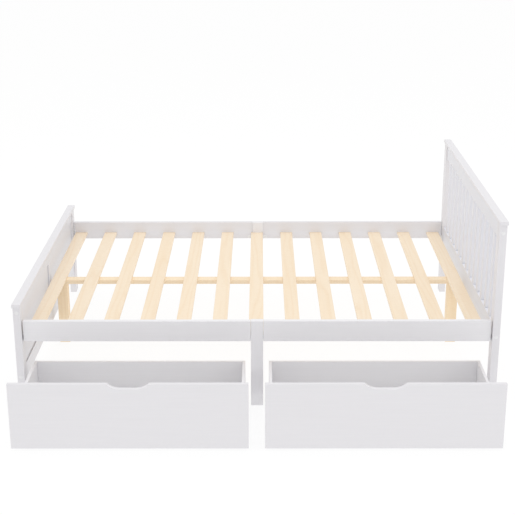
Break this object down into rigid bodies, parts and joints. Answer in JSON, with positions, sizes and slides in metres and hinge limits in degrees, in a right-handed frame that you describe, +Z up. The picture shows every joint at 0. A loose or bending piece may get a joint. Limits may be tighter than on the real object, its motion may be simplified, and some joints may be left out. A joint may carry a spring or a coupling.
{
  "type": "bed frame",
  "caption": "Low wooden bed frame with a slatted headboard, panelled footboard, pine slat base and storage drawers rolling out under one long side.",
  "frame": {"origin": "centre of the overall box at floor level, with both drawers standing pulled out", "axes": "+X runs along the bed from the footboard to the headboard, +Y from the drawer side to the far side, +Z up"},
  "size_m": [2.008, 1.857, 0.816],
  "materials": {
    "white_paint": "satin white paint over pine",
    "natural_pine": "planed natural pine, clear matt varnish",
    "zinc_steel": "zinc-plated steel",
    "white_coated_steel": "white powder-coated steel",
    "white_plastic": "moulded white plastic",
    "dark_plastic": "moulded black plastic",
    "drawer_bottom_board": "white-faced fibreboard"
  },
  "bodies": {
    "bed": {"footboard_post_front": "white_paint", "footboard_post_back": "white_paint", "footboard_cap": "white_paint", "footboard_top_rail": "white_paint", "footboard_bottom_rail": "white_paint", "footboard_stile": "white_paint", "footboard_panel_front": "white_paint", "footboard_panel_back": "white_paint", "headboard_post_front": "white_paint", "headboard_post_back": "white_paint", "headboard_cap": "white_paint", "headboard_top_rail": "white_paint", "headboard_lower_rail": "white_paint", "headboard_slats": "white_paint", "front_rail_foot": "white_paint", "front_rail_head": "white_paint", "back_rail_foot": "white_paint", "back_rail_head": "white_paint", "centre_leg_front": "white_paint", "centre_leg_back": "white_paint", "centre_beam": "natural_pine", "beam_leg_foot": "natural_pine", "beam_leg_middle": "natural_pine", "beam_leg_head": "natural_pine", "slat_01": "natural_pine", "slat_02": "natural_pine", "slat_03": "natural_pine", "slat_04": "natural_pine", "slat_05": "natural_pine", "slat_06": "natural_pine", "slat_07": "natural_pine", "slat_08": "natural_pine", "slat_09": "natural_pine", "slat_10": "natural_pine", "slat_11": "natural_pine", "slat_12": "natural_pine", "slat_13": "natural_pine", "brackets": "white_coated_steel", "bolt_covers": "white_plastic", "frame_bolts": "zinc_steel"},
    "drawer_foot": {"drawer_foot_front": "white_paint", "drawer_foot_back": "white_paint", "drawer_foot_side_left": "white_paint", "drawer_foot_side_right": "white_paint", "drawer_foot_bottom": "drawer_bottom_board", "drawer_foot_casters": "zinc_steel"},
    "wheel_foot_1_spin": {"wheel_foot_1": "dark_plastic"},
    "wheel_foot_2_spin": {"wheel_foot_2": "dark_plastic"},
    "wheel_foot_3_spin": {"wheel_foot_3": "dark_plastic"},
    "wheel_foot_4_spin": {"wheel_foot_4": "dark_plastic"},
    "drawer_head": {"drawer_head_front": "white_paint", "drawer_head_back": "white_paint", "drawer_head_side_left": "white_paint", "drawer_head_side_right": "white_paint", "drawer_head_bottom": "drawer_bottom_board", "drawer_head_casters": "zinc_steel"},
    "wheel_head_1_spin": {"wheel_head_1": "dark_plastic"},
    "wheel_head_2_spin": {"wheel_head_2": "dark_plastic"},
    "wheel_head_3_spin": {"wheel_head_3": "dark_plastic"},
    "wheel_head_4_spin": {"wheel_head_4": "dark_plastic"}
  },
  "joints": [
    {"name": "drawer_foot_slide", "type": "slide", "parent": "bed", "child": "drawer_foot", "axis": [0, -1, 0], "range_m": [-0.404, 0.15]},
    {"name": "wheel_foot_1_roll", "type": "hinge", "parent": "drawer_foot", "child": "wheel_foot_1_spin", "pos_m": [-0.1247, -0.8505, 0.02], "axis": [1, 0, 0], "range_deg": [-1200, 450]},
    {"name": "wheel_foot_2_roll", "type": "hinge", "parent": "drawer_foot", "child": "wheel_foot_2_spin", "pos_m": [-0.8645, -0.8505, 0.02], "axis": [1, 0, 0], "range_deg": [-1200, 450]},
    {"name": "wheel_foot_3_roll", "type": "hinge", "parent": "drawer_foot", "child": "wheel_foot_3_spin", "pos_m": [-0.1247, -0.5295, 0.02], "axis": [1, 0, 0], "range_deg": [-1200, 450]},
    {"name": "wheel_foot_4_roll", "type": "hinge", "parent": "drawer_foot", "child": "wheel_foot_4_spin", "pos_m": [-0.8645, -0.5295, 0.02], "axis": [1, 0, 0], "range_deg": [-1200, 450]},
    {"name": "drawer_head_slide", "type": "slide", "parent": "bed", "child": "drawer_head", "axis": [0, -1, 0], "range_m": [-0.404, 0.15]},
    {"name": "wheel_head_1_roll", "type": "hinge", "parent": "drawer_head", "child": "wheel_head_1_spin", "pos_m": [0.1247, -0.8505, 0.02], "axis": [1, 0, 0], "range_deg": [-1200, 450]},
    {"name": "wheel_head_2_roll", "type": "hinge", "parent": "drawer_head", "child": "wheel_head_2_spin", "pos_m": [0.8645, -0.8505, 0.02], "axis": [1, 0, 0], "range_deg": [-1200, 450]},
    {"name": "wheel_head_3_roll", "type": "hinge", "parent": "drawer_head", "child": "wheel_head_3_spin", "pos_m": [0.1247, -0.5295, 0.02], "axis": [1, 0, 0], "range_deg": [-1200, 450]},
    {"name": "wheel_head_4_roll", "type": "hinge", "parent": "drawer_head", "child": "wheel_head_4_spin", "pos_m": [0.8645, -0.5295, 0.02], "axis": [1, 0, 0], "range_deg": [-1200, 450]}
  ],
  "couplings": [
    {"joint": "wheel_foot_1_roll", "follows": "drawer_foot_slide", "rad_per_m": 50},
    {"joint": "wheel_foot_2_roll", "follows": "drawer_foot_slide", "rad_per_m": 50},
    {"joint": "wheel_foot_3_roll", "follows": "drawer_foot_slide", "rad_per_m": 50},
    {"joint": "wheel_foot_4_roll", "follows": "drawer_foot_slide", "rad_per_m": 50},
    {"joint": "wheel_head_1_roll", "follows": "drawer_head_slide", "rad_per_m": 50},
    {"joint": "wheel_head_2_roll", "follows": "drawer_head_slide", "rad_per_m": 50},
    {"joint": "wheel_head_3_roll", "follows": "drawer_head_slide", "rad_per_m": 50},
    {"joint": "wheel_head_4_roll", "follows": "drawer_head_slide", "rad_per_m": 50}
  ]
}
